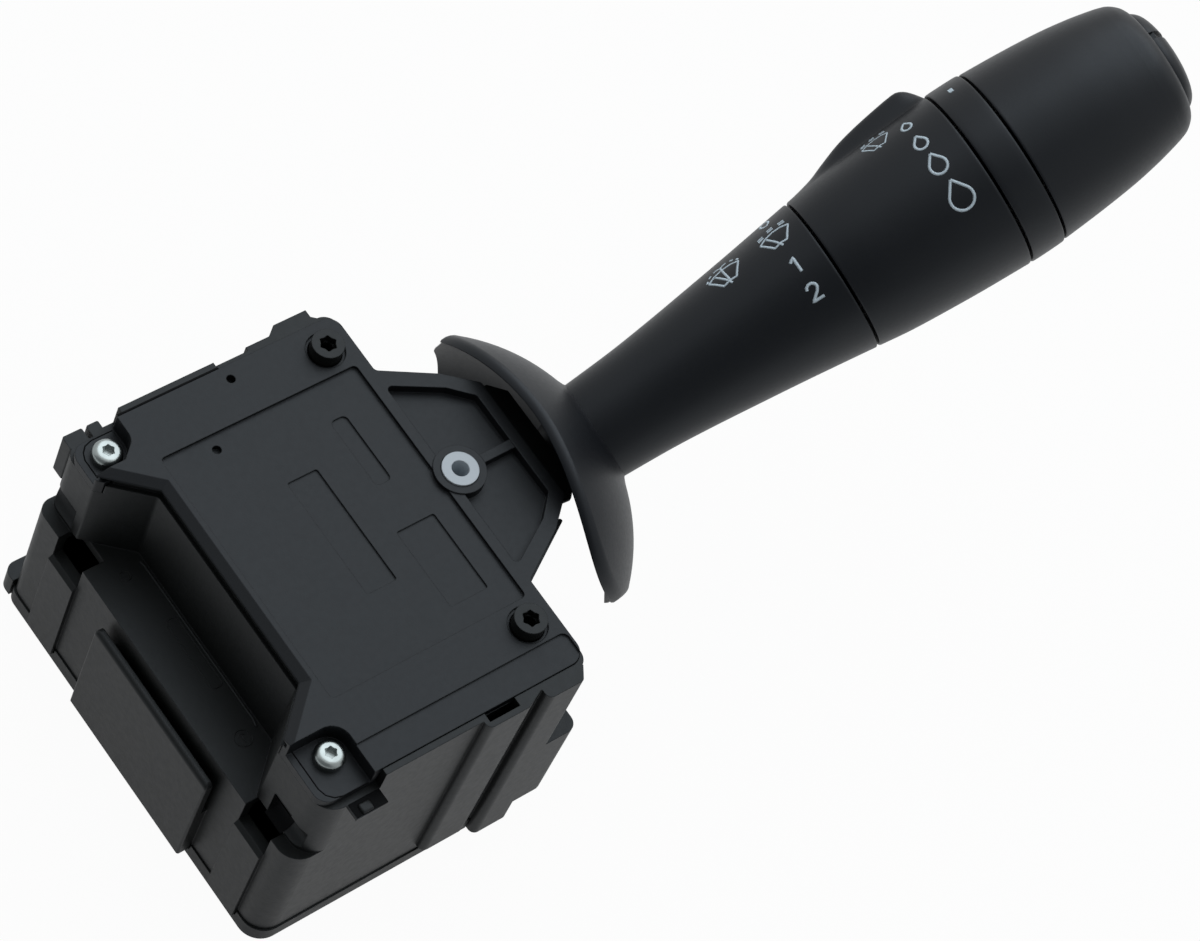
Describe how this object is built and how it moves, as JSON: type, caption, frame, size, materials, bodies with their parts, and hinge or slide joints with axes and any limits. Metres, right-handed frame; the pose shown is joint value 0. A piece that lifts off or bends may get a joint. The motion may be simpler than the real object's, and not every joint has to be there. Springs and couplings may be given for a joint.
{
  "type": "combination stalk switch",
  "caption": "Steering column stalk switch: tilting lever with twist ring, end knob and tip button, in a boxed switch housing with a rear guide channel.",
  "frame": {"origin": "centre of the guide channel's floor, on the rear of the housing", "axes": "+X from the guide channel towards the lever, +Y along the guide channel, +Z out of the cover plate along the tilt axis"},
  "size_m": [0.1847, 0.0766, 0.1035],
  "materials": {
    "housing_plastic": "fine grained moulded plastic, dark green-grey",
    "cover_plastic": "fine grained moulded plastic, dark blue-grey",
    "base_plastic": "fine grained moulded plastic, dark grey",
    "connector_plastic": "moulded plastic, black",
    "tin_brass": "tinned, dull",
    "board": "green printed board",
    "copper": "bare copper alloy",
    "zinc_steel": "zinc plated",
    "pale_acetal": "natural acetal, waxy",
    "white_acetal": "white acetal, waxy",
    "spring_steel": "drawn wire",
    "core_plastic": "glass filled plastic, dark grey",
    "soft_black": "soft touch black, satin"
  },
  "bodies": {
    "housing": {"housing": "housing_plastic", "cover_plate": "cover_plastic", "base_cover": "base_plastic", "connector_socket": "connector_plastic", "terminal_pins": "tin_brass", "contact_board": "board", "contact_tracks": "copper", "cover_screws": "zinc_steel", "base_screws": "zinc_steel", "detent_track": "pale_acetal"},
    "tilt_carrier": {"tilt_carrier": "white_acetal", "detent_plunger": "pale_acetal", "detent_spring": "spring_steel", "pull_pin": "spring_steel", "pull_spring": "spring_steel"},
    "pull_plunger": {"pull_plunger": "pale_acetal"},
    "tilt_slider": {"tilt_slider": "white_acetal", "slider_contacts": "copper"},
    "lever": {"lever_core": "core_plastic", "guard": "soft_black", "arm_sleeve": "soft_black", "core_tube": "core_plastic", "stalk_board": "board", "index_ring": "soft_black", "ring_contact_disc": "board", "knob_contact_disc": "board"},
    "interval_ring": {"interval_ring": "soft_black", "ring_wiper": "copper"},
    "end_knob": {"end_knob": "soft_black", "knob_wiper": "copper"},
    "tip_button": {"tip_button": "soft_black", "button_spring": "spring_steel"}
  },
  "joints": [
    {"name": "stalk_tilt", "type": "hinge", "parent": "housing", "child": "tilt_carrier", "pos_m": [0.0475, 0, 0.02], "axis": [0, 0, 1], "range_deg": [-16.5, 5.5]},
    {"name": "stalk_pull", "type": "hinge", "parent": "tilt_carrier", "child": "lever", "pos_m": [0.0475, 0, -0.003], "axis": [-0.0645, -0.9979, 0], "range_deg": [0, 8], "stiffness_Nm_per_rad": 4, "springref_deg": -5.73},
    {"name": "ring_turn", "type": "hinge", "parent": "lever", "child": "interval_ring", "pos_m": [0.0475, 0, -0.003], "axis": [0.8728, -0.0564, 0.4848], "range_deg": [-60, 0]},
    {"name": "knob_turn", "type": "hinge", "parent": "lever", "child": "end_knob", "pos_m": [0.0475, 0, -0.003], "axis": [0.8728, -0.0564, 0.4848], "range_deg": [-30, 30]},
    {"name": "button_press", "type": "slide", "parent": "lever", "child": "tip_button", "axis": [-0.8728, 0.0564, -0.4848], "range_m": [0, 0.0015], "stiffness_N_per_m": 1500, "springref_m": -0.001},
    {"name": "tilt_slide", "type": "slide", "parent": "housing", "child": "tilt_slider", "axis": [0, 1, 0], "range_m": [-0.0015, 0.0043]},
    {"name": "plunger_slide", "type": "slide", "parent": "tilt_carrier", "child": "pull_plunger", "axis": [0, 0, 1], "range_m": [-0.0017, 0], "deforming": ["pull_spring"]}
  ],
  "couplings": [
    {"joint": "tilt_slide", "follows": "stalk_tilt", "m_per_rad": -0.01437},
    {"joint": "plunger_slide", "follows": "stalk_pull", "m_per_rad": -0.0116}
  ]
}
